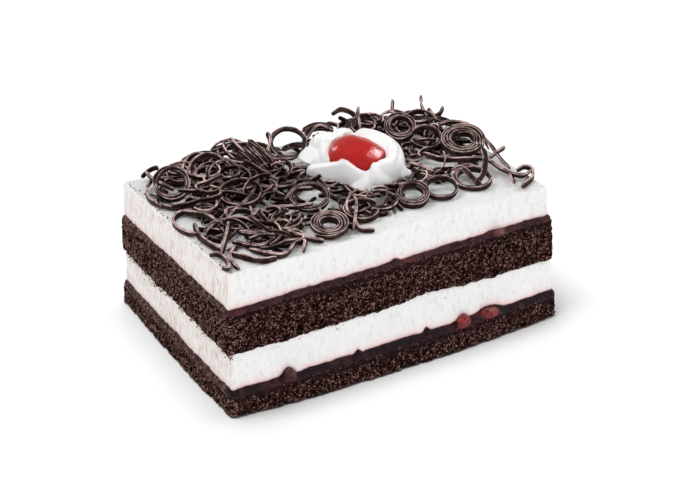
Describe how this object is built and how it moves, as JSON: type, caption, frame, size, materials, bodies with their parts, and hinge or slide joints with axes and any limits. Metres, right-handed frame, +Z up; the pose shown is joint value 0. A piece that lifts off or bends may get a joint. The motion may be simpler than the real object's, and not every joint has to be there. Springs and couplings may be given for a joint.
{
  "type": "black forest cake slice",
  "caption": "Block-shaped slice of layered chocolate cake with cherry filling and whipped cream, topped with chocolate curls, a cream rosette and a cherry, for eating.",
  "frame": {"origin": "on the ground under the middle of the slice", "axes": "+X along the long side, +Y from the long front face to the back, +Z up"},
  "size_m": [0.1126, 0.078, 0.0546],
  "materials": {
    "sponge": "dark chocolate sponge, open crumb, dull",
    "filling": "dark cherry filling, moist and glossy",
    "cream": "whipped cream, smooth cut, soft sheen",
    "piped_cream": "piped whipped cream, smooth, soft sheen",
    "chocolate": "dark chocolate curls, satin with fine lengthwise ridges",
    "cherry": "glazed cherry, wet gloss",
    "cherry_piece": "dark red cherry flesh, moist"
  },
  "bodies": {
    "root": {"sponge_bottom": "sponge", "filling_bottom": "filling", "cream_middle": "cream", "sponge_top": "sponge", "filling_top": "filling", "cream_top": "cream", "cherry_piece_left": "cherry_piece", "cherry_piece_right": "cherry_piece", "cherry_piece_far_left": "cherry_piece", "cherry_piece_upper": "cherry_piece", "rosette": "piped_cream", "cherry": "cherry", "shavings": "chocolate"}
  },
  "joints": []
}
